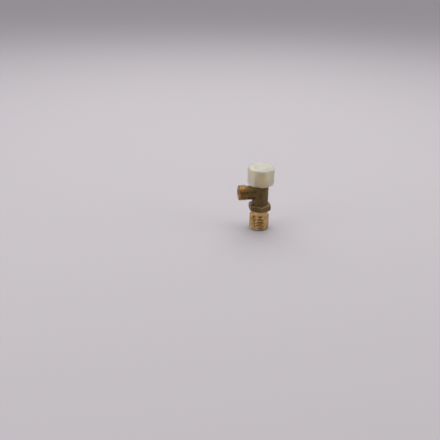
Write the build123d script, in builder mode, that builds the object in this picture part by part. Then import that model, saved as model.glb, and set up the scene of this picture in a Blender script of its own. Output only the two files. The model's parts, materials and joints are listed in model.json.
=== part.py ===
# Angle stop valve: a half-inch inlet pointing down, a three-eighths outlet to the side and a
# non-rising headwork under a six-lobed knob.
# Millimetres, +Z up along the valve's axis, origin at the centre of the inlet's end face,
# outlet along -X. The valve is modelled shut. Threads are rings at their true pitch.

import os
from math import cos, pi, radians, sin, sqrt, tan

from build123d import *

os.makedirs("parts", exist_ok=True)

# inlet: half-inch parallel pipe thread, 14 threads per inch
inlet_crest = 20.955 / 2
inlet_root = 18.631 / 2
inlet_pitch = 1.814
inlet_turns = 9
inlet_lead_in = 1.2  # place of the first full ridge
inlet_bore = 6.6
mouth_chamfer = 0.4
neck_radius = 9.35
neck_low = 16.7

# wrench hexagon and barrel of the forging
hex_low = 21.4
hex_high = 28.0
hex_flats = 22.0
barrel_radius = 8.5
barrel_top = 50.4
wrench_fillet = 0.9

# outlet: three-eighths parallel pipe thread, 19 threads per inch
outlet_height = 40.9
outlet_reach = 24.0
outlet_crest = 16.662 / 2
outlet_root = 14.95 / 2
outlet_pitch = 1.337
outlet_turns = 6
outlet_lead_in = 1.15
outlet_bore = 4.0
outlet_cone = 5.4
outlet_cone_angle = 30.0  # degrees from the outlet's axis
boss_radius = 7.5
boss_end = 14.5
boss_fillet = 1.4

# waterway inside the body
chamber_radius = 6.3
chamber_floor = 33.2
seat_height = 34.4
seat_radius = 4.5
port_radius = 3.6

# bonnet, also called the headwork
seal_thick = 0.8
seal_radius = 8.3
flange_radius = 8.4
flange_low = barrel_top + seal_thick
flange_high = flange_low + 0.9
bonnet_hex_high = 55.3
bonnet_hex_flats = 16.0
bonnet_shoulder = 58.5
bonnet_low = 45.7
bonnet_bore = 4.6
guide_low = 51.6
guide_flats = 7.6
guide_roof = 57.7
neck_top = 61.1
neck_bore = 3.0

# spindle, its left-hand thread lifts the plunger when it turns counter-clockwise
lead = 1.2
spindle_low = 47.3
spindle_crest = 2.3
spindle_root = 1.8
journal = 2.95
collar_radius = 3.7
collar_low = 56.3
collar_high = 57.3
washer_gap = 0.05
oring_groove = 2.05
oring_width = 1.0
oring_places = (58.55, 60.15)
clip_low = 61.4
clip_high = 62.0
clip_groove = 2.4
spline_radius = 2.9
spline_depth = 0.35
spline_teeth = 18
spindle_top = 65.8
screw_hole = 1.5

# plunger, lifted by three turns of the spindle
plunger_top = 52.6
piston_low = 45.8
piston_high = 47.8
piston_radius = 4.52
plunger_flats = 7.4
plunger_bore = 2.4
plunger_bore_low = 43.0
plunger_stem = 3.3
disc_radius = 5.4
disc_low = 35.2
disc_high = 38.1
pocket_radius = 4.85
pocket_roof = 36.3

# knob
knob_low = 51.1
knob_high = 69.4
knob_radius = 14.2
knob_draft = 1.0  # degrees, wider at the top
knob_lobes = 6
knob_turn = 6.0  # degrees from +X to the first groove between two lobes
scallop_radius = 6.5
scallop_depth = 1.0
scallop_blend = 1.8
knob_edge = 1.4
rim_edge = 0.5
cavity_radius = 11.4
hub_radius = 5.6
hub_low = 62.3
crown_low = 67.6
rib_thick = 1.2
insert_high = 66.0
insert_flats = 7.8
recess_radius = 4.3
cap_radius = 7.1
cap_low = 68.4
fit_gap = 0.05


def ridges(first, turns, pitch, root, crest):
    """Corner points (radius, place) of a thread's section, with equal flats on its crests and roots."""
    flat = (pitch - 2 * (crest - root) * tan(radians(27.5))) / 2
    points = []
    for turn in range(turns):
        middle = first + turn * pitch
        points += [
            (root, middle - pitch / 2 + flat / 2),
            (crest, middle - flat / 2),
            (crest, middle + flat / 2),
            (root, middle + pitch / 2 - flat / 2),
        ]
    return points


def turned(outline):
    """A solid turned about the valve's axis, from the points (radius, height) of its half section."""
    with BuildPart() as piece:
        with BuildSketch(Plane.XZ):
            with BuildLine():
                Polyline(*outline, close=True)
            make_face()
        revolve(axis=Axis.Z)
    return piece.part


def hexagon(across_flats, low, high):
    """A hexagonal prism with a flat facing the outlet, its corners turned off at both ends."""
    corner = across_flats / sqrt(3)
    face = across_flats / 2 - 0.25
    drop = (corner - face) * tan(radians(32))
    cone = [(0, low), (face, low), (corner, low + drop)]
    cone += [(corner, high - drop), (face, high), (0, high)]
    with BuildPart() as prism:
        with BuildSketch(Plane.XY.offset(low)):
            RegularPolygon(corner, 6, rotation=30)
        extrude(amount=high - low)
        add(turned(cone), mode=Mode.INTERSECT)
    return prism.part


def serration(radius, teeth, depth):
    """Corner points of a toothed circle."""
    points = []
    for step in range(2 * teeth):
        reach = radius - depth * (step % 2)
        angle = pi * step / teeth
        points.append((reach * cos(angle), reach * sin(angle)))
    return points


# the forged and machined body
inlet_ridges = ridges(inlet_lead_in, inlet_turns, inlet_pitch, inlet_root, inlet_crest)
inlet_end = inlet_root - 0.45
neck = [(neck_radius, neck_low), (neck_radius, hex_low + 1), (0, hex_low + 1)]
stub = turned([(0, 0), (inlet_end, 0)] + inlet_ridges[1:] + neck)
wrench_hex = hexagon(hex_flats, hex_low, hex_high)
outlet_axis = Axis((0, 0, outlet_height), (1, 0, 0))
tip_ridges = ridges(outlet_lead_in, outlet_turns, outlet_pitch, outlet_root, outlet_crest)
tip_places = [(place - outlet_reach, outlet_height + radius) for radius, place in tip_ridges[1:]]
tip_end = outlet_height + outlet_root - 0.35
groove_place = tip_places[-1][0] + 0.2
groove_level = outlet_height + outlet_root - 0.25
cone_depth = (outlet_cone - outlet_bore) / tan(radians(outlet_cone_angle))

with BuildPart() as valve_body:
    with BuildSketch(Plane.XY.offset(hex_high - 2)):
        Circle(barrel_radius)
    extrude(amount=barrel_top - hex_high + 2)
    with BuildSketch(Plane.YZ.offset(-boss_end)):
        with Locations((0, outlet_height)):
            Circle(boss_radius)
    extrude(amount=boss_end)
    plain = (GeomType.LINE, GeomType.CIRCLE)
    saddle = valve_body.edges().filter_by(lambda edge: edge.geom_type not in plain)
    fillet(saddle, boss_fillet)
    add(wrench_hex)
    rings = valve_body.edges().filter_by(GeomType.CIRCLE)
    level = rings.filter_by_position(Axis.Z, hex_high - 0.1, hex_high + 0.1)
    fillet(level.filter_by(lambda edge: abs(edge.radius - barrel_radius) < 0.01), wrench_fillet)
    add(stub)
    # the outlet's threaded end with the relief groove behind it
    with BuildSketch(Plane.XZ):
        with BuildLine():
            Polyline(
                (-outlet_reach, outlet_height),
                (-outlet_reach, tip_end),
                *tip_places,
                (groove_place, groove_level),
                (-boss_end, groove_level),
                (-boss_end, outlet_height),
                close=True,
            )
        make_face()
    revolve(axis=outlet_axis)
    # inlet bore, port, seat rim and chamber
    with BuildSketch(Plane.XZ):
        with BuildLine():
            Polyline(
                (0, 0),
                (inlet_bore + mouth_chamfer, 0),
                (inlet_bore, mouth_chamfer),
                (inlet_bore, 26.0),
                (port_radius, 29.0),
                (port_radius, seat_height),
                (seat_radius, seat_height),
                (seat_radius + 0.5, chamber_floor),
                (chamber_radius, chamber_floor),
                (chamber_radius, barrel_top),
                (0, barrel_top),
                close=True,
            )
        make_face()
    revolve(axis=Axis.Z, mode=Mode.SUBTRACT)
    # outlet bore with the cone that a hose or an olive seals on
    with BuildSketch(Plane.XZ):
        with BuildLine():
            Polyline(
                (-outlet_reach, outlet_height),
                (-outlet_reach, outlet_height + outlet_cone),
                (-outlet_reach + cone_depth, outlet_height + outlet_bore),
                (-1, outlet_height + outlet_bore),
                (-1, outlet_height),
                close=True,
            )
        make_face()
    revolve(axis=outlet_axis, mode=Mode.SUBTRACT)
valve_body.part.label = "valve_body"
export_step(valve_body.part, "parts/valve_body.step")

# flat seal between the barrel and the bonnet's flange
with BuildPart() as bonnet_seal:
    with BuildSketch(Plane.XY.offset(barrel_top)):
        Circle(seal_radius)
        Circle(chamber_radius + 0.1, mode=Mode.SUBTRACT)
    extrude(amount=seal_thick)
bonnet_seal.part.label = "bonnet_seal"
export_step(bonnet_seal.part, "parts/bonnet_seal.step")

# bonnet: threaded tube, flange, hexagon and the neck that guides the spindle
bonnet_crest = chamber_radius - fit_gap
bonnet_ridges = ridges(bonnet_low + 1.3, 4, 1.0, bonnet_crest - 0.5, bonnet_crest)
bonnet_outline = (
    [(0, bonnet_low), (bonnet_crest - 0.5, bonnet_low)]
    + bonnet_ridges
    + [
        (bonnet_crest - 0.5, flange_low),
        (flange_radius, flange_low),
        (flange_radius, flange_high),
        (5.9, flange_high),
        (5.9, bonnet_shoulder),
        (4.9, bonnet_shoulder + 0.8),
        (4.9, neck_top - 0.4),
        (4.5, neck_top),
        (0, neck_top),
    ]
)
bonnet_hex = hexagon(bonnet_hex_flats, flange_high, bonnet_hex_high)

with BuildPart() as bonnet:
    add(turned(bonnet_outline))
    add(bonnet_hex)
    with BuildSketch(Plane.XY.offset(bonnet_low)):
        Circle(bonnet_bore)
    extrude(amount=guide_low - bonnet_low, mode=Mode.SUBTRACT)
    with BuildSketch(Plane.XY.offset(bonnet_low)):
        RegularPolygon(guide_flats / sqrt(3), 6, rotation=30)
    extrude(amount=guide_roof - bonnet_low, mode=Mode.SUBTRACT)
    with BuildSketch(Plane.XY.offset(bonnet_low)):
        Circle(neck_bore)
    extrude(amount=neck_top - bonnet_low, mode=Mode.SUBTRACT)
bonnet.part.label = "bonnet"
export_step(bonnet.part, "parts/bonnet.step")

# spindle: left-hand thread, thrust collar, journal with two seal grooves, clip groove and splines
spindle_outline = [(0, spindle_low), (spindle_root, spindle_low)]
spindle_outline += ridges(spindle_low + 0.9, 6, lead, spindle_root, spindle_crest)
spindle_outline += [(spindle_root, collar_low), (collar_radius, collar_low), (collar_radius, collar_high)]
spindle_outline += [(journal, collar_high)]
for place in oring_places:
    spindle_outline += [
        (journal, place - oring_width / 2),
        (oring_groove, place - oring_width / 2),
        (oring_groove, place + oring_width / 2),
        (journal, place + oring_width / 2),
    ]
spindle_outline += [(journal, clip_low), (clip_groove, clip_low), (clip_groove, clip_high), (0, clip_high)]

with BuildPart() as spindle:
    add(turned(spindle_outline))
    with BuildSketch(Plane.XY.offset(clip_high)):
        with BuildLine():
            Polyline(*serration(spline_radius, spline_teeth, spline_depth), close=True)
        make_face()
    extrude(amount=spindle_top - clip_high)
    with BuildSketch(Plane.XY.offset(spindle_top)):
        Circle(screw_hole)
    extrude(amount=-4.9, mode=Mode.SUBTRACT)
spindle.part.label = "spindle"
export_step(spindle.part, "parts/spindle.step")

# the two rubber rings on the spindle's journal
with BuildPart() as spindle_oring_lower:
    with BuildSketch(Plane.XZ):
        with Locations((2.53, oring_places[0])):
            Circle(0.45)
    revolve(axis=Axis.Z)
spindle_oring_lower.part.label = "spindle_oring_lower"
export_step(spindle_oring_lower.part, "parts/spindle_oring_lower.step")

with BuildPart() as spindle_oring_upper:
    with BuildSketch(Plane.XZ):
        with Locations((2.53, oring_places[1])):
            Circle(0.45)
    revolve(axis=Axis.Z)
spindle_oring_upper.part.label = "spindle_oring_upper"
export_step(spindle_oring_upper.part, "parts/spindle_oring_upper.step")

# slip washer between the spindle's collar and the roof of the bonnet
with BuildPart() as thrust_washer:
    with BuildSketch(Plane.XY.offset(collar_high)):
        Circle(collar_radius)
        Circle(journal + fit_gap, mode=Mode.SUBTRACT)
    extrude(amount=guide_roof - collar_high - washer_gap)
thrust_washer.part.label = "thrust_washer"
export_step(thrust_washer.part, "parts/thrust_washer.step")

# washer under the clip, on top of the bonnet's neck
with BuildPart() as clip_washer:
    with BuildSketch(Plane.XY.offset(neck_top + washer_gap)):
        Circle(4.2)
        Circle(journal + fit_gap, mode=Mode.SUBTRACT)
    extrude(amount=clip_low - neck_top - washer_gap)
clip_washer.part.label = "clip_washer"
export_step(clip_washer.part, "parts/clip_washer.step")

# open spring clip in the spindle's groove
with BuildPart() as spindle_clip:
    with BuildSketch(Plane.XY.offset(clip_low)):
        Circle(4.0)
        Circle(clip_groove, mode=Mode.SUBTRACT)
        with BuildLine():
            Polyline((1.2, 0), (4.2, -2.0), (5.0, 0), (4.2, 2.0), close=True)
        make_face(mode=Mode.SUBTRACT)
    extrude(amount=clip_high - clip_low)
spindle_clip.part.label = "spindle_clip"
export_step(spindle_clip.part, "parts/spindle_clip.step")

# plunger: disc with the washer's pocket, stem, piston with a ring groove and the hexagonal guide
groove_low = 46.2
groove_high = 47.4
groove_root = 3.4
plunger_outline = [
    (0, pocket_roof),
    (pocket_radius, pocket_roof),
    (pocket_radius, disc_low),
    (disc_radius, disc_low),
    (disc_radius, disc_high - 0.5),
    (disc_radius - 0.5, disc_high),
    (plunger_stem, disc_high),
    (plunger_stem, piston_low),
    (piston_radius, piston_low),
    (piston_radius, groove_low),
    (groove_root, groove_low),
    (groove_root, groove_high),
    (piston_radius, groove_high),
    (piston_radius, piston_high),
    (0, piston_high),
]

with BuildPart() as plunger:
    add(turned(plunger_outline))
    with BuildSketch(Plane.XY.offset(piston_high)):
        RegularPolygon(plunger_flats / sqrt(3), 6, rotation=30)
    extrude(amount=plunger_top - piston_high)
    with BuildSketch(Plane.XY.offset(plunger_bore_low)):
        Circle(plunger_bore)
    extrude(amount=plunger_top - plunger_bore_low, mode=Mode.SUBTRACT)
    with BuildSketch(Plane.XY.offset(pocket_roof)):
        Circle(screw_hole)
    extrude(amount=4.0, mode=Mode.SUBTRACT)
plunger.part.label = "plunger"
export_step(plunger.part, "parts/plunger.step")

with BuildPart() as plunger_oring:
    with BuildSketch(Plane.XZ):
        with Locations((3.98, (groove_low + groove_high) / 2)):
            Circle(0.56)
    revolve(axis=Axis.Z)
plunger_oring.part.label = "plunger_oring"
export_step(plunger_oring.part, "parts/plunger_oring.step")

# rubber disc that shuts the port, with its plate and screw
with BuildPart() as seat_washer:
    with BuildSketch(Plane.XY.offset(seat_height)):
        Circle(pocket_radius - fit_gap)
        Circle(screw_hole + 0.1, mode=Mode.SUBTRACT)
    extrude(amount=pocket_roof - seat_height)
seat_washer.part.label = "seat_washer"
export_step(seat_washer.part, "parts/seat_washer.step")

plate_thick = 0.5
with BuildPart() as washer_plate:
    with BuildSketch(Plane.XY.offset(seat_height - plate_thick)):
        Circle(2.9)
        Circle(screw_hole + 0.1, mode=Mode.SUBTRACT)
    extrude(amount=plate_thick)
washer_plate.part.label = "washer_plate"
export_step(washer_plate.part, "parts/washer_plate.step")

screw_radius = screw_hole - fit_gap
head_top = seat_height - plate_thick
with BuildPart() as washer_screw:
    with BuildSketch(Plane.XY.offset(head_top - 1.7)):
        Circle(2.6)
    extrude(amount=1.7)
    chamfer(washer_screw.edges().group_by(Axis.Z)[0], 0.5)
    with BuildSketch(Plane.XY.offset(head_top)):
        Circle(screw_radius)
    extrude(amount=5.6)
    with BuildSketch(Plane.XY.offset(head_top - 1.7)):
        Rectangle(6, 0.8)
    extrude(amount=0.9, mode=Mode.SUBTRACT)
washer_screw.part.label = "washer_screw"
export_step(washer_screw.part, "parts/washer_screw.step")

# knob: lobed shell, crown, hub and ribs in one moulding
bottom_radius = knob_radius - (knob_high - knob_low) * tan(radians(knob_draft))
with BuildPart() as knob:
    with BuildSketch(Plane.XY.offset(knob_low)) as rim:
        Circle(bottom_radius)
        reach = bottom_radius + scallop_radius - scallop_depth
        with PolarLocations(reach, knob_lobes, start_angle=knob_turn):
            Circle(scallop_radius, mode=Mode.SUBTRACT)
        fillet(rim.vertices(), scallop_blend)
    extrude(amount=knob_high - knob_low, taper=-knob_draft)
    fillet(knob.faces().sort_by(Axis.Z)[-1].edges(), knob_edge)
    fillet(knob.faces().sort_by(Axis.Z)[0].edges(), rim_edge)
    with BuildSketch(Plane.XY.offset(knob_low)):
        Circle(cavity_radius)
    extrude(amount=crown_low - knob_low, mode=Mode.SUBTRACT)
    with BuildSketch(Plane.XY.offset(hub_low)):
        Circle(hub_radius)
        middle = (hub_radius + cavity_radius) / 2
        with PolarLocations(middle, knob_lobes, start_angle=knob_turn):
            Rectangle(cavity_radius - hub_radius + 1, rib_thick)
    extrude(amount=crown_low - hub_low)
    with BuildSketch(Plane.XY.offset(hub_low)):
        RegularPolygon(insert_flats / sqrt(3), 6, rotation=30)
    extrude(amount=insert_high - hub_low, mode=Mode.SUBTRACT)
    with BuildSketch(Plane.XY.offset(insert_high)):
        Circle(recess_radius)
    extrude(amount=knob_high - insert_high, mode=Mode.SUBTRACT)
    with BuildSketch(Plane.XY.offset(cap_low)):
        Circle(cap_radius)
    extrude(amount=knob_high - cap_low, mode=Mode.SUBTRACT)
knob.part.label = "knob"
export_step(knob.part, "parts/knob.step")

# splined bush moulded into the hub
with BuildPart() as knob_insert:
    with BuildSketch(Plane.XY.offset(hub_low)):
        RegularPolygon(insert_flats / sqrt(3), 6, rotation=30)
        with BuildLine():
            Polyline(*serration(spline_radius + fit_gap, spline_teeth, spline_depth), close=True)
        make_face(mode=Mode.SUBTRACT)
    extrude(amount=insert_high - hub_low)
knob_insert.part.label = "knob_insert"
export_step(knob_insert.part, "parts/knob_insert.step")

# flat washer, split spring washer and screw that hold the knob down
flat_thick = 0.4
with BuildPart() as screw_washer:
    with BuildSketch(Plane.XY.offset(insert_high)):
        Circle(3.9)
        Circle(screw_hole + 0.1, mode=Mode.SUBTRACT)
    extrude(amount=flat_thick)
screw_washer.part.label = "screw_washer"
export_step(screw_washer.part, "parts/screw_washer.step")

spring_low = insert_high + flat_thick
spring_thick = 0.5
with BuildPart() as spring_washer:
    with BuildSketch(Plane.XY.offset(spring_low)):
        Circle(2.7)
        Circle(screw_hole + 0.1, mode=Mode.SUBTRACT)
        with Locations((2.2, 0)):
            Rectangle(2.0, 0.35, rotation=20, mode=Mode.SUBTRACT)
    extrude(amount=spring_thick)
spring_washer.part.label = "spring_washer"
export_step(spring_washer.part, "parts/spring_washer.step")

head_low = spring_low + spring_thick
with BuildPart() as knob_screw:
    with BuildSketch(Plane.XY.offset(head_low)):
        Circle(2.9)
    extrude(amount=1.0)
    fillet(knob_screw.edges().group_by(Axis.Z)[-1], 0.5)
    with BuildSketch(Plane.XY.offset(head_low)):
        Circle(screw_radius)
    extrude(amount=-5.4)
    with BuildSketch(Plane.XY.offset(head_low + 1.0)):
        Rectangle(3.4, 0.7)
        Rectangle(0.7, 3.4)
    extrude(amount=-0.7, mode=Mode.SUBTRACT)
knob_screw.part.label = "knob_screw"
export_step(knob_screw.part, "parts/knob_screw.step")

# cap that snaps into the crown over the screw
with BuildPart() as knob_cap:
    with BuildSketch(Plane.XY.offset(cap_low)):
        Circle(cap_radius - fit_gap)
    extrude(amount=knob_high - cap_low)
    with BuildSketch(Plane.XY.offset(cap_low)):
        Circle(recess_radius - fit_gap)
        Circle(recess_radius - 0.8, mode=Mode.SUBTRACT)
    extrude(amount=-0.9)
knob_cap.part.label = "knob_cap"
export_step(knob_cap.part, "parts/knob_cap.step")
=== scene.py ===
import json
import math

import bpy
from mathutils import Matrix, Vector


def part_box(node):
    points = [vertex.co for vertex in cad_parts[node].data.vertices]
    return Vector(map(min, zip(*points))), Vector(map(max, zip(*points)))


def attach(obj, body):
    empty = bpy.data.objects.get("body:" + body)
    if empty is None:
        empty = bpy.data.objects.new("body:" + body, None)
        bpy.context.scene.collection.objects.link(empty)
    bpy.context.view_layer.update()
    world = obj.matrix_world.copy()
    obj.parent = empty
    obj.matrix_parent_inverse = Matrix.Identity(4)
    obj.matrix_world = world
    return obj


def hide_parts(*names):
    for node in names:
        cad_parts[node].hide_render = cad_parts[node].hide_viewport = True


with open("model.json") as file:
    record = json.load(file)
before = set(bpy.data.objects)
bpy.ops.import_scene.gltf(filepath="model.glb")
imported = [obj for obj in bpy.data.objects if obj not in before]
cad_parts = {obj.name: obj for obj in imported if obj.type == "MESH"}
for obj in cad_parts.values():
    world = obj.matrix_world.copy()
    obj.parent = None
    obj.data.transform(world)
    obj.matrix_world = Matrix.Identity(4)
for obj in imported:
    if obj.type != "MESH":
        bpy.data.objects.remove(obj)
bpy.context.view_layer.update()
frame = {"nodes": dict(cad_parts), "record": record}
nodes = frame["nodes"]
mm = 0.001  # new pieces are modelled in millimetres and brought to metres when they are done


# the valve body's values, in millimetres

mounts = {mount["name"]: mount for mount in frame["record"]["mounts"]}
bodyLow, bodyHigh = [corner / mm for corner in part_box("valve_body")]
outletHeight = mounts["outlet_thread"]["pos_m"][2] / mm

inletThread = {
    "crest": mounts["inlet_thread"]["dims"]["r_mm"], "root": 9.3155, "pitch": 1.814,
    "start": -1.4, "turns": 11, "steps": 96, "length": 16.7, "tip": 8.87, "tail": 9.2,
    "axis": "Z", "height": 0.0, "grime": (16.8, 16.4),  # from none to full, along the axis
}
outletThread = {
    "crest": mounts["outlet_thread"]["dims"]["r_mm"], "root": 7.475, "pitch": 1.337,
    "start": -1.2, "turns": 8, "steps": 96, "length": 8.6, "tip": 7.1, "tail": 7.0,
    "axis": "X", "height": outletHeight, "grime": (-14.3, -14.6),
}
# what both threads have: the flank's angle, the ridge's rounding and foot, and the trim round them
ridge = {"flank": 27.5, "rounding": 0.12, "sunk": 0.2, "over": 0.4, "lead": 0.75, "runOut": 0.8}
# how far off the crest and root a thread's dark roots, dirt with painted shade, start and are full, and
# how deep they reach
grime = {"start": 0.2, "full": 0.1, "deep": (0.6, 0.4)}
body = {
    "neck": 9.35, "neckOverlap": 2.0,
    "hexLow": 21.4, "hexHigh": 28.0, "hexFlats": 22.0, "hexFace": 10.85, "hexSlope": 0.62,
    "barrel": 8.5, "top": bodyHigh.z,
    "boss": 7.5, "bossEnd": 14.5, "reach": -bodyLow.x, "groove": 7.2, "grooveOverlap": 1.5,
    "inletBore": mounts["inlet_bore"]["dims"]["r_mm"], "boreMouth": 2.4, "boreTop": 26.0,
    "port": 3.6, "portLow": 29.0, "seat": 4.5, "seatFlare": 0.5,
    "seatHeight": 34.4, "chamberFloor": 33.2, "chamber": 6.3,
    "outletBore": 4.0, "outletCone": 5.4, "coneHalfAngle": 30,
    "flash": 0.35, "flashThick": 0.6,
    "voxel": 0.232, "skinPasses": 8, "cornerPasses": 45, "bossRound": 2.2, "hexRound": 1.6,
}
# where the lighter edges start and are full: off the hexagon's edges (rubbing and a painted edge
# highlight), above the barrel, and inside the cut rims
wearAndHighlight = {
    "seam": (0.5, 0.2), "hexagonTop": (0.6, 0.3), "ridge": (0.05, 0.2), "rim": (0.4, 0.1),
    "upper": 0.45,  # how strong the wear above the hexagon is
}


class Wire:
    # one output socket; sums and products of wires add Math nodes
    def __init__(self, finish, socket):
        self.finish = finish
        self.socket = socket

    def __add__(self, other):
        return self.finish.maths("ADD", self, other)

    def __sub__(self, other):
        return self.finish.maths("SUBTRACT", self, other)

    def __rsub__(self, other):
        return self.finish.maths("SUBTRACT", other, self)

    def __mul__(self, other):
        return self.finish.maths("MULTIPLY", self, other)

    def __pow__(self, other):
        return self.finish.maths("POWER", self, other)

    __radd__ = __add__
    __rmul__ = __mul__


class Finish:
    # a material, or the world, whose nodes are written as expressions
    def __init__(self, name, kind="materials"):
        self.made = getattr(bpy.data, kind).new(name)
        self.made.use_nodes = True
        self.tree = self.made.node_tree
        self.tree.nodes.clear()

    def node(self, kind, settings=None, sockets=None, out=0):
        made = self.tree.nodes.new(kind)
        for key, value in (settings or {}).items():
            if key == "stops":
                ramp = made.color_ramp
                while len(ramp.elements) < len(value):
                    ramp.elements.new(0.5)
                for element, (place, colour) in zip(ramp.elements, value):
                    element.position = place
                    element.color = (*colour, 1)
            else:
                setattr(made, key, value)
        for key, value in (sockets or {}).items():
            self.feed(made.inputs[key], value)
        return Wire(self, made.outputs[out]) if made.outputs else None

    def feed(self, socket, value):
        if isinstance(value, Wire):
            self.tree.links.new(value.socket, socket)
        elif isinstance(value, tuple) and len(value) == 3 and socket.type == "RGBA":
            socket.default_value = (*value, 1)
        else:
            socket.default_value = value

    def maths(self, operation, first, second=0.0):
        return self.node("ShaderNodeMath", {"operation": operation}, {0: first, 1: second})

    def place(self, scale=(1, 1, 1)):
        spot = self.node("ShaderNodeTexCoord", out="Object")
        return self.node("ShaderNodeMapping", None, {"Vector": spot, "Scale": scale})

    def axes(self, vector):
        split = self.node("ShaderNodeSeparateXYZ", None, {0: vector}).socket.node
        return [Wire(self, output) for output in split.outputs]

    def noise(self, scale, stretch=(1, 1, 1), detail=3.0, roughness=0.5):
        sockets = {"Vector": self.place(stretch), "Scale": scale,
                   "Detail": detail, "Roughness": roughness}
        return self.node("ShaderNodeTexNoise", {"noise_dimensions": "3D"}, sockets)

    def between(self, value, low, high):
        sockets = {"Value": value, "From Min": low, "From Max": high}
        return self.node("ShaderNodeMapRange", {"clamp": True}, sockets)

    def blend(self, share, first, second):
        # a colour mix has its factor, colours and result on these sockets
        return self.node("ShaderNodeMix", {"data_type": "RGBA"}, {0: share, 6: first, 7: second}, out=2)

    def bump(self, height, distance):
        sockets = {"Height": height, "Distance": distance, "Strength": 1.0}
        return self.node("ShaderNodeBump", None, sockets)

    def surface(self, sockets):
        shader = self.node("ShaderNodeBsdfPrincipled", None, sockets)
        self.node("ShaderNodeOutputMaterial", None, {"Surface": shader})
        return self.made


def wornAndHighlitEdges(look):
    # lighter edges where two faces of the hexagon meet (rubbing and a painted edge highlight), along
    # the parting line and on the two cut rims
    x, y, z = look.axes(look.place())
    low, high, half = body["hexLow"] * mm, body["hexHigh"] * mm, body["hexFlats"] / 2 * mm
    radius = (x * x + y * y) ** 0.5
    fold = look.maths("PINGPONG", look.maths("ARCTAN2", y, x), math.pi / 6)
    flat = look.maths("ABSOLUTE", half - radius * look.maths("COSINE", fold))
    nextFlat = look.maths("ABSOLUTE", half - radius * look.maths("COSINE", math.pi / 3 - fold))
    fall = (radius - body["hexFace"] * mm) * body["hexSlope"]
    cone = look.maths("ABSOLUTE", look.maths("MINIMUM", high - fall - z, z - low - fall))
    meeting = flat + look.maths("MINIMUM", nextFlat, cone)

    def grown(value, face, name, side):
        start, full = wearAndHighlight[name]
        return look.between(value, face + side * start * mm, face + side * full * mm)

    seam, onHexagon = grown(meeting, 0, "seam", 1), grown(z, high, "hexagonTop", 1)
    ridgeLine = grown(x, body["barrel"] * mm, "ridge", 1)
    topRim = grown(z, body["top"] * mm, "rim", -1)
    bossRim = grown(x, -body["bossEnd"] * mm, "rim", 1)
    upper = look.maths("MAXIMUM", ridgeLine, look.maths("MAXIMUM", topRim, bossRim))
    return look.maths("MAXIMUM", seam * onHexagon, upper * wearAndHighlight["upper"] * (1 - onHexagon))


def forgedBrass():
    look = Finish("forgedBrass")
    cloud = look.noise(130, detail=5, roughness=0.62)
    speck = look.noise(900, detail=3, roughness=0.6)
    grain = look.noise(3400, detail=2)
    tarnish = look.between(cloud * 0.6 + speck * 0.4, 0.38, 0.62)
    # edge lightening: rubbing, and on the hexagon's edges also a painted highlight
    wornAndHighlit = wornAndHighlitEdges(look) * (0.25 + 0.65 * tarnish)
    colour = look.blend(tarnish, (0.095, 0.061, 0.023), (0.20, 0.132, 0.050))
    colour = look.blend(wornAndHighlit, colour, (0.36, 0.25, 0.105))
    return look.surface({
        "Base Color": colour,
        "Metallic": 0.8,
        "Roughness": 0.40 + 0.22 * speck - 0.12 * wornAndHighlit,
        "Normal": look.bump(grain * 0.2 + speck, 0.00012),
    })


def rootGrimeAndShade(look, thread):
    # dirt and painted shade that darken a thread's roots, by distance from the thread's axis
    x, y, z = look.axes(look.place())
    across, along = (x, z) if thread["axis"] == "Z" else (z - thread["height"] * mm, x)
    radius = (across * across + y * y) ** 0.5
    root, crest = thread["root"] * mm, thread["crest"] * mm
    bareRadius, darkRadius = [root - depth * mm for depth in grime["deep"]]
    inRoots = look.between(radius, crest - grime["start"] * mm, root + grime["full"] * mm)
    start, full = thread["grime"]
    return inRoots * look.between(radius, bareRadius, darkRadius) * look.between(along, start * mm, full * mm)


def machinedBrass(name, stretch, thread=None):
    look = Finish(name)
    cut = look.noise(60, stretch=stretch, detail=2)
    stain = look.noise(170, detail=4, roughness=0.6)
    stained = look.between(stain, 0.38, 0.66)
    colour = look.blend(stained, (0.68, 0.475, 0.22), (0.48, 0.275, 0.098))
    # the thread's roots darkened by dirt and painted shade
    sootAndShade = rootGrimeAndShade(look, thread) if thread else 0.0
    if thread:
        colour = look.blend(sootAndShade * 0.85, colour, (0.12, 0.066, 0.024))
    return look.surface({
        "Base Color": colour,
        "Metallic": 1.0,
        "Roughness": 0.12 + 0.16 * stain + 0.2 * sootAndShade,
        "Normal": look.bump(cut, 0.00002),
    })


def dullBrass():
    # darker colour: painted shade inside the bores and the outlet's cone, with random stain over it
    look = Finish("dullBrass")
    stain = look.noise(260, detail=4, roughness=0.6)
    stained = look.between(stain, 0.35, 0.65)
    return look.surface({
        "Base Color": look.blend(stained, (0.30, 0.19, 0.075), (0.16, 0.095, 0.04)),
        "Metallic": 0.9,
        "Roughness": 0.38 + 0.2 * stain,
        "Normal": look.bump(stain, 0.00005),
    })


def milkyPlastic():
    look = Finish("milkyPlastic")
    cloud = look.noise(90, detail=2)
    colour = look.blend(cloud, (0.98, 0.95, 0.82), (0.95, 0.90, 0.75))
    return look.surface({
        "Base Color": colour,
        "Roughness": 0.30 + 0.08 * cloud,
        "IOR": 1.45,
        "Subsurface Weight": 1.0,
        "Subsurface Radius": (1.0, 0.85, 0.6),
        "Subsurface Scale": 0.003,
        "Transmission Weight": 0.78,
    })


def blackRubber():
    look = Finish("blackRubber")
    grain = look.noise(2500, detail=2)
    return look.surface({
        "Base Color": look.blend(grain, (0.015, 0.015, 0.016), (0.035, 0.034, 0.033)),
        "Roughness": 0.55 + 0.2 * grain,
        "Normal": look.bump(grain, 0.00003),
    })


def whiteSlipPlastic():
    look = Finish("whiteSlipPlastic")
    grain = look.noise(900, detail=2)
    return look.surface({
        "Base Color": look.blend(grain, (0.85, 0.85, 0.83), (0.78, 0.78, 0.76)),
        "Roughness": 0.45 + 0.1 * grain,
    })


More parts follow.
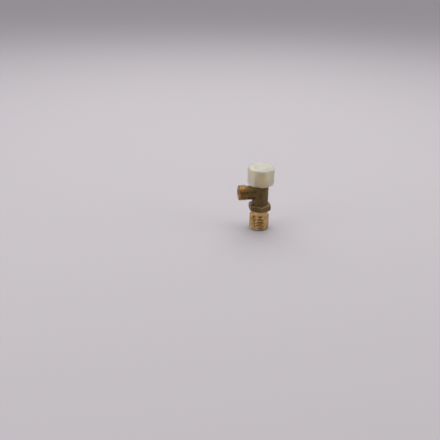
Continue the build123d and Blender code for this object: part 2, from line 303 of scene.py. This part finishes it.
def zincSteel():
    look = Finish("zincSteel")
    stain = look.noise(400, detail=3)
    return look.surface({
        "Base Color": look.blend(stain, (0.62, 0.63, 0.65), (0.50, 0.51, 0.54)),
        "Metallic": 1.0,
        "Roughness": 0.28 + 0.2 * stain,
    })


def redFibre():
    look = Finish("redFibre")
    grain = look.noise(2200, detail=3)
    return look.surface({
        "Base Color": look.blend(grain, (0.17, 0.045, 0.03), (0.11, 0.03, 0.022)),
        "Roughness": 0.7 + 0.15 * grain,
        "Normal": look.bump(grain, 0.00004),
    })


finishes = {
    "forged_brass": forgedBrass(),
    "brass": machinedBrass("turnedBrass", (1, 1, 60)),
    "inletBrass": machinedBrass("inletBrass", (1, 1, 60), inletThread),
    "outletBrass": machinedBrass("outletBrass", (60, 1, 1), outletThread),
    "dullBrass": dullBrass(),
    "fibre": redFibre(),
    "rubber": blackRubber(),
    "ptfe": whiteSlipPlastic(),
    "steel": zincSteel(),
    "knob_plastic": milkyPlastic(),
}
for entry in frame["record"]["subparts"]:
    part = nodes[entry["node"]]
    part.data.materials.clear()
    part.data.materials.append(finishes[entry["material_slot"]])
print("finishes on the CAD nodes")


def clear():
    if bpy.context.object and bpy.context.object.mode != "OBJECT":
        bpy.ops.object.mode_set(mode="OBJECT")
    bpy.ops.object.select_all(action="DESELECT")


def only(piece):
    clear()
    piece.select_set(True)
    bpy.context.view_layer.objects.active = piece


def applied(piece, kind, settings):
    only(piece)
    change = piece.modifiers.new(kind.lower(), kind)
    for key, value in settings.items():
        setattr(change, key, value)
    bpy.ops.object.modifier_apply(modifier=change.name)
    return piece


def joined(piece, tool, operation="UNION"):
    settings = {"operation": operation, "solver": "EXACT", "object": tool, "material_mode": "TRANSFER"}
    applied(piece, "BOOLEAN", settings)
    bpy.data.objects.remove(tool)
    return piece


def chain(name, points):
    # a line of edges through points in the XZ plane, grown by extruding from one vertex
    clear()
    bpy.ops.mesh.primitive_plane_add(size=1)
    piece = bpy.context.object
    piece.name = name
    bpy.ops.object.mode_set(mode="EDIT")
    bpy.ops.mesh.merge(type="CENTER")
    bpy.ops.transform.translate(value=(points[0][0], 0, points[0][1]))
    for before, after in zip(points, points[1:]):
        step = (after[0] - before[0], 0, after[1] - before[1])
        bpy.ops.mesh.extrude_region_move(TRANSFORM_OT_translate={"value": step})
    bpy.ops.object.mode_set(mode="OBJECT")
    return piece


def turned(name, finish, profile, steps=144):
    # a half section of (radius, height) spun about Z
    piece = chain(name, profile)
    bpy.ops.object.mode_set(mode="EDIT")
    bpy.ops.mesh.select_all(action="SELECT")
    bpy.ops.mesh.spin(steps=steps, angle=2 * math.pi, center=(0, 0, 0), axis=(0, 0, 1))
    bpy.ops.mesh.select_all(action="SELECT")
    bpy.ops.mesh.remove_doubles(threshold=0.0001)
    bpy.ops.mesh.normals_make_consistent(inside=False)
    bpy.ops.object.mode_set(mode="OBJECT")
    piece.data.materials.append(finish)
    return piece


def rod(name, finish, radius, low, high, vertices=160):
    clear()
    bpy.ops.mesh.primitive_cylinder_add(
        vertices=vertices, radius=radius, depth=high - low,
        location=(0, 0, (low + high) / 2))
    piece = bpy.context.object
    piece.name = name
    bpy.ops.object.transform_apply(location=True, rotation=True, scale=True)
    piece.data.materials.append(finish)
    return piece


def block(name, finish, low, high):
    clear()
    middle = [(a + b) / 2 for a, b in zip(low, high)]
    bpy.ops.mesh.primitive_cube_add(size=1, location=middle)
    piece = bpy.context.object
    piece.name = name
    piece.scale = [b - a for a, b in zip(low, high)]
    bpy.ops.object.transform_apply(location=True, rotation=True, scale=True)
    piece.data.materials.append(finish)
    return piece


def laid(piece, place, turn=(0, 0, 0)):
    # turns and moves a piece that was made about Z
    only(piece)
    piece.rotation_euler = turn
    piece.location = place
    bpy.ops.object.transform_apply(location=True, rotation=True, scale=True)
    return piece


def copied(piece):
    made = piece.copy()
    made.data = piece.data.copy()
    bpy.context.collection.objects.link(made)
    return made


def toMetres(piece):
    # closes the slivers that the Booleans leave, then scales
    only(piece)
    bpy.ops.object.mode_set(mode="EDIT")
    bpy.ops.mesh.select_all(action="SELECT")
    bpy.ops.mesh.remove_doubles(threshold=0.002)
    bpy.ops.mesh.dissolve_degenerate(threshold=0.002)
    bpy.ops.mesh.fill_holes(sides=8)
    bpy.ops.object.mode_set(mode="OBJECT")
    piece.scale = (mm, mm, mm)
    bpy.ops.object.transform_apply(location=True, rotation=True, scale=True)
    bpy.ops.object.shade_smooth_by_angle(angle=math.radians(30))
    return piece


def coil(name, finish, thread):
    # one rounded ridge swept up a right-hand helix, its foot sunk into the root cylinder
    slope = math.tan(math.radians(ridge["flank"]))
    deep, sunk, rounding = thread["crest"] - thread["root"], ridge["sunk"], ridge["rounding"]
    top = (thread["pitch"] / 2 - deep * slope) / 2
    foot = top + (deep + sunk) * slope
    shoulder = top + rounding * slope
    half = [(thread["root"] - sunk, foot), (thread["crest"] - rounding, shoulder),
            (thread["crest"], top * 0.5)]
    outline = [(radius, -rise) for radius, rise in half] + half[::-1]
    clear()
    bpy.ops.mesh.primitive_circle_add(vertices=len(outline), radius=1)
    piece = bpy.context.object
    piece.name = name
    for vertex, (radius, rise) in zip(piece.data.vertices, outline):
        vertex.co = (radius, 0, thread["start"] + rise)
    steps = thread["steps"]
    applied(piece, "SCREW", {"axis": "Z", "angle": 2 * math.pi, "screw_offset": thread["pitch"],
                             "iterations": thread["turns"], "steps": steps, "render_steps": steps})
    bpy.ops.object.mode_set(mode="EDIT")
    bpy.ops.mesh.select_all(action="SELECT")
    bpy.ops.mesh.fill_holes(sides=len(outline))
    bpy.ops.mesh.normals_make_consistent(inside=False)
    bpy.ops.object.mode_set(mode="OBJECT")
    piece.data.materials.append(finish)
    return piece


def threadedEnd(name, finish, thread):
    # root cylinder and helix, trimmed to a chamfered tip at 0 and a run-out at its length
    root, over = thread["root"], thread["crest"] + ridge["over"]
    length, tip, tail = thread["length"], thread["tip"], thread["tail"]
    piece = rod(name, finish, root, -2, length + 2)
    joined(piece, coil(name + "Coil", finish, thread))
    envelope = [(0, 0), (tip, 0), (over, (over - tip) * ridge["lead"]),
                (over, length - (over - root) * ridge["runOut"]), (root + 0.03, length),
                (tail, length + 0.1), (tail, length + 0.6), (0, length + 0.6)]
    return joined(piece, turned(name + "Trim", finish, envelope), "INTERSECT")


def forging(finish):
    flats, low, high = body["hexFlats"], body["hexLow"], body["hexHigh"]
    corner, face = flats / math.sqrt(3), body["hexFace"]
    drop = (corner - face) * body["hexSlope"]
    piece = rod("forging", finish, corner, low, high, vertices=6)
    wide = corner + 0.01
    cone = [(0, low), (face, low), (wide, low + drop), (wide, high - drop), (face, high), (0, high)]
    joined(piece, turned("hexCone", finish, cone), "INTERSECT")
    joined(piece, rod("barrel", finish, body["barrel"], low + 1, body["top"] + 1))
    boss = rod("boss", finish, body["boss"], 0, body["bossEnd"] + 0.5)
    joined(piece, laid(boss, (0, 0, outletHeight), (0, -math.pi / 2, 0)))
    edge, half = body["barrel"] + body["flash"], body["flashThick"] / 2
    joined(piece, block("flash", finish, (0, -half, high - 1), (edge, half, body["top"] + 1)))
    remesh = {"mode": "VOXEL", "voxel_size": body["voxel"], "use_smooth_shade": True}
    applied(piece, "REMESH", remesh)
    applied(piece, "SMOOTH", {"factor": 0.5, "iterations": body["skinPasses"]})
    # the corners that a forging die rounds: around the boss and on top of the hexagon
    corners = piece.vertex_groups.new(name="corners")
    for vertex in piece.data.vertices:
        x, y, z = vertex.co
        offBarrel = abs(math.hypot(x, y) - body["barrel"])
        offBoss = abs(math.hypot(y, z - outletHeight) - body["boss"])
        byBoss = x < 0 and max(offBarrel, offBoss) < body["bossRound"]
        if byBoss or max(offBarrel, abs(z - high)) < body["hexRound"]:
            corners.add([vertex.index], 1.0, "REPLACE")
    passes = {"factor": 0.5, "iterations": body["cornerPasses"], "vertex_group": "corners"}
    applied(piece, "SMOOTH", passes)
    piece.vertex_groups.clear()
    return piece


def waterway():
    # inlet bore, port through the seat and the chamber the headwork screws into
    top, bore, seat = body["top"], body["inletBore"], body["seat"]
    section = [(0, -2), (bore + body["boreMouth"], -2), (bore, 0.4), (bore, body["boreTop"]),
               (body["port"], body["portLow"]), (body["port"], body["seatHeight"]),
               (seat, body["seatHeight"]), (seat + body["seatFlare"], body["chamberFloor"]),
               (body["chamber"], body["chamberFloor"]), (body["chamber"], top + 2), (0, top + 2)]
    return turned("waterway", finishes["dullBrass"], section)


def mouth():
    # outlet bore with the cone that a hose's end seats on
    slope, reach = math.tan(math.radians(body["coneHalfAngle"])), body["reach"]
    bore, wide = body["outletBore"], body["outletCone"]
    section = [(0, -2), (wide + 2 * slope, -2), (bore, (wide - bore) / slope),
               (bore, reach - 1), (0, reach - 1)]
    return toOutlet(turned("mouth", finishes["dullBrass"], section))


def toOutlet(piece):
    return laid(piece, (-body["reach"], 0, outletHeight), (0, math.pi / 2, 0))


def makeValveBody():
    bright, brightSide = finishes["inletBrass"], finishes["outletBrass"]
    piece = forging(finishes["forged_brass"])
    low, top = body["hexLow"], body["top"]
    stub = threadedEnd("inlet", bright, inletThread)
    foot, tail = inletThread["length"], inletThread["tail"]
    neckTop = low + body["neckOverlap"]
    neck = [(0, foot + 0.05), (tail, foot + 0.05), (body["neck"], foot + 0.2),
            (body["neck"], neckTop), (0, neckTop)]
    joined(stub, turned("neck", bright, neck))
    spout = threadedEnd("outlet", brightSide, outletThread)
    start = outletThread["length"] - 0.2
    end = body["reach"] - body["bossEnd"] + body["grooveOverlap"]
    groove = [(0, start), (body["groove"], start), (body["groove"], end), (0, end)]
    joined(spout, turned("groove", brightSide, groove))
    toOutlet(spout)
    # the cuts that leave bright faces on top of the barrel and at the boss's end
    topCut = block("topCut", bright, (-30, -30, top), (30, 30, top + 9))
    joined(piece, topCut, "DIFFERENCE")
    bossCut = block("bossCut", brightSide, (-30, -30, -5), (-body["bossEnd"], 30, top + 5))
    joined(piece, bossCut, "DIFFERENCE")
    joined(piece, stub)
    joined(piece, spout)
    joined(piece, waterway(), "DIFFERENCE")
    joined(piece, mouth(), "DIFFERENCE")
    piece.name = "valveBody"
    toMetres(piece)
    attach(piece, "housing")
    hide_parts("valve_body")
    print("valve body", len(piece.data.polygons))


knobLow, knobHigh = [corner.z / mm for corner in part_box("knob")]
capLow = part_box("knob_cap")[0].z / mm
knob = {
    "radius": 14.2, "draft": 1.0, "lobes": 6, "turn": 6.0,
    "scallop": 6.5, "depth": 1.0, "blend": 0.16, "steps": 288, "fade": 12.3,
    "edge": 2.1, "rimEdge": 0.5, "dish": 0.4, "cavity": 11.4, "cavityEdge": 1.2,
    "crown": 67.6, "crownEdge": 0.5, "hub": 5.6, "hubEdge": 0.3, "hubLow": 62.3, "hubBore": 3.4,
    "rib": 1.2, "insertTop": 66.0, "insertFlats": 7.8, "recess": 4.3, "seat": 68.4, "cap": 7.1,
}
cap = {"gap": 0.05, "dome": 0.25, "edge": 0.45, "edgeDrop": 0.72, "skirt": 0.75}


def quarter(centre, radius, start, end, count=7):
    # points on an arc in the half section, angles in degrees
    made = []
    for step in range(count):
        angle = math.radians(start + (end - start) * step / (count - 1))
        made.append((centre[0] + radius * math.cos(angle), centre[1] + radius * math.sin(angle)))
    return made


def lobed(angle):
    # share of the full radius left by the scallops, with soft corners between them
    pitch = 2 * math.pi / knob["lobes"]
    off = (angle - math.radians(knob["turn"]) + pitch / 2) % pitch - pitch / 2
    reach = knob["radius"] + knob["scallop"] - knob["depth"]
    inside = knob["scallop"] ** 2 - (reach * math.sin(off)) ** 2
    if inside <= 0:
        return 1.0
    cut = (reach * math.cos(off) - math.sqrt(inside)) / knob["radius"]
    soft = knob["blend"] / 2
    near = max(soft - abs(1 - cut), 0) / soft
    return min(1, cut) - near * near * soft / 4


def knobSection():
    # hub, crown, cavity wall, rim, outside, edge, dish and the recess for the cap, in that order
    radius, edge, rim, low, high = knob["radius"], knob["edge"], knob["rimEdge"], knobLow, knobHigh
    foot = radius - (high - low) * math.tan(math.radians(knob["draft"]))
    wall, corner, hub, hubEdge = knob["cavity"], knob["cavityEdge"], knob["hub"], knob["hubEdge"]
    crown, crownEdge, seat, cup = knob["crown"], knob["crownEdge"], knob["seat"], knob["cap"]
    section = [(knob["hubBore"], knob["hubLow"])]
    section += quarter((hub - hubEdge, knob["hubLow"] + hubEdge), hubEdge, -90, 0, 4)
    section += quarter((hub + crownEdge, crown - crownEdge), crownEdge, 180, 90, 4)
    section += quarter((wall - corner, crown - corner), corner, 90, 0)
    section += [(wall, low + 0.4), (wall + 0.3, low)]
    section += quarter((foot - rim, low + rim), rim, -90, 0, 5)
    section += [(foot + (radius - foot) * share, low + rim + (high - edge - low - rim) * share)
                for share in (0.25, 0.5, 0.75)]
    section += quarter((radius - edge, high - edge), edge, 0, 90, 10)
    lip, inner, dish = radius - edge - 0.3, cup + 0.5, knob["dish"]
    for step in range(9):
        share = step / 8
        fall = dish * (0.5 - 0.5 * math.cos(math.pi * share))
        section.append((lip + (inner - lip) * share, high - fall))
    section += [(cup + 0.15, high - dish - 0.05), (cup, high - dish - 0.2), (cup, seat)]
    section += [(knob["recess"], seat), (knob["recess"], knob["insertTop"])]
    return section + [(knob["hubBore"], knob["insertTop"]), section[0]]


def scalloped(piece):
    # draws the outside in to its lobes and leaves the cavity and the cap's recess round
    wall = knob["cavity"]
    for vertex in piece.data.vertices:
        x, y, z = vertex.co
        reach, upper = math.hypot(x, y), z > knob["seat"] - 2
        inward = knob["cap"] + 1 if upper else wall + 0.35
        share = min(1, max(0, (reach - inward) / (knob["fade"] - inward if upper else 0.8)))
        if reach > wall + 0.01 or z > knob["crown"] + 0.2:
            share = share * share * (3 - 2 * share) * (1 - lobed(math.atan2(y, x)))
            vertex.co = (x * (1 - share), y * (1 - share), z)
    return piece


def makeKnob():
    finish = finishes["knob_plastic"]
    piece = scalloped(turned("knobShell", finish, knobSection(), knob["steps"]))
    half = knob["rib"] / 2
    rib = block("rib", finish, (knob["hub"] - 0.5, -half, knob["hubLow"] + 0.2),
                (knob["cavity"] + 0.3, half, knob["crown"] + 0.3))
    for step in range(knob["lobes"]):
        angle = math.radians(knob["turn"] + 360 * step / knob["lobes"])
        joined(piece, laid(copied(rib), (0, 0, 0), (0, 0, angle)))
    bpy.data.objects.remove(rib)
    pocket = rod("pocket", finish, knob["insertFlats"] / math.sqrt(3), knob["hubLow"] - 1,
                 knob["insertTop"], vertices=6)
    joined(piece, pocket, "DIFFERENCE")
    toMetres(piece)
    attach(piece, "handwheel")
    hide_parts("knob")
    print("knob", len(piece.data.polygons))


def makeCap():
    gap, low = cap["gap"], knob["seat"]
    radius, top, skirt = knob["cap"] - gap, knobHigh - gap, knob["recess"] - gap
    inside = skirt - cap["skirt"]
    section = [(0, top)]
    section += [(radius * share, top - cap["dome"] * share * share) for share in (0.3, 0.6, 0.8)]
    section += quarter((radius - cap["edge"], top - cap["edgeDrop"]), cap["edge"], 80, 0, 6)
    section += [(radius, low), (skirt, low), (skirt, capLow), (inside, capLow), (inside, low), (0, low)]
    piece = turned("capDisc", finishes["knob_plastic"], section, 144)
    toMetres(piece)
    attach(piece, "handwheel")
    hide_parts("knob_cap")
    print("cap", len(piece.data.polygons))


makeValveBody()
makeKnob()
makeCap()


room = {
    "floorSize": 16.0, "floor": (0.395, 0.369, 0.386), "backdrop": (0.50, 0.48, 0.50),
    "skyStrength": 1.0, "frontShare": 0.2,  # how much of the sky's light comes from the lens's side
    "sky": [(0.0, (0.30, 0.29, 0.30)), (0.5, (0.16, 0.15, 0.15)),
            (0.68, (0.55, 0.54, 0.56)), (1.0, (1.0, 0.99, 1.02))],
}


def makeFloor():
    clear()
    bpy.ops.mesh.primitive_plane_add(size=room["floorSize"])
    floor = bpy.context.object
    floor.name = "floor"
    look = Finish("floorPaint")
    tone = look.noise(3, detail=2)
    darker = tuple(0.98 * part for part in room["floor"])
    floor.data.materials.append(look.surface({
        "Base Color": look.blend(tone, room["floor"], darker),
        "Roughness": 0.75,
    }))


def makeSky():
    sky = Finish("room", "worlds")
    y, z = sky.axes(sky.node("ShaderNodeTexCoord", out="Generated"))[1:]
    height = sky.node("ShaderNodeMapRange", None, {"Value": z, "From Min": -1})
    colour = sky.node("ShaderNodeValToRGB", {"stops": room["sky"]}, {0: height})
    strength = sky.node("ShaderNodeMapRange", None, {
        "Value": y, "From Min": -0.2, "From Max": -0.85,
        "To Min": room["skyStrength"], "To Max": room["skyStrength"] * room["frontShare"]})
    light = sky.node("ShaderNodeBackground", None, {"Color": colour, "Strength": strength})
    # seen directly, the room is a plain pale backdrop
    plain = sky.node("ShaderNodeBackground", None, {"Color": room["backdrop"]})
    seen = sky.node("ShaderNodeLightPath", out="Is Camera Ray")
    choice = sky.node("ShaderNodeMixShader", None, {0: seen, 1: light, 2: plain})
    sky.node("ShaderNodeOutputWorld", None, {"Surface": choice})
    bpy.context.scene.world = sky.made


lamps = {
    "over": {"place": (0.0, 0.45, 1.0), "size": 1.4, "power": 12.0},
    "side": {"place": (1.0, -0.3, 0.5), "size": 0.8, "power": 3.2},
    "far": {"place": (-1.0, -0.3, 0.5), "size": 0.8, "power": 3.2},
}


def makeLamps():
    for name, lamp in lamps.items():
        data = bpy.data.lights.new(name, "AREA")
        data.size = lamp["size"]
        data.energy = lamp["power"]
        made = bpy.data.objects.new(name, data)
        made.location = lamp["place"]
        aim = Vector((0, 0, 0.03)) - made.location
        made.rotation_euler = aim.to_track_quat("-Z", "Y").to_euler()
        bpy.context.collection.objects.link(made)


shot = {
    "azimuth": -8.0,  # degrees, 0 looks along +Y
    "elevation": 24.9,
    "roll": 1.1,
    "lens": 50.0,
    "distance": 0.671,  # from the lens to the valve's foot
    "across": 0.0632,  # the foot's place beside the middle of the picture, over the lens's distance
    "up": -0.0111,
}


def makeCamera():
    turn, tilt = math.radians(shot["azimuth"]), math.radians(shot["elevation"])
    back = Vector((math.sin(turn) * math.cos(tilt), -math.cos(turn) * math.cos(tilt), math.sin(tilt)))
    aim = (-back).to_track_quat("-Z", "Y").to_matrix()
    aim = aim @ Matrix.Rotation(math.radians(shot["roll"]), 3, "Z")
    ray = Vector((shot["across"], shot["up"], -1)).normalized() * shot["distance"]
    data = bpy.data.cameras.new("camera")
    data.lens = shot["lens"]
    data.sensor_width = 36
    data.clip_start = 0.01
    made = bpy.data.objects.new("camera", data)
    made.matrix_world = Matrix.Translation(-(aim @ ray)) @ aim.to_4x4()
    bpy.context.collection.objects.link(made)
    bpy.context.scene.camera = made


makeFloor()
makeSky()
makeLamps()
makeCamera()
bpy.context.scene.view_settings.view_transform = "Standard"
print("room, lamps and camera")
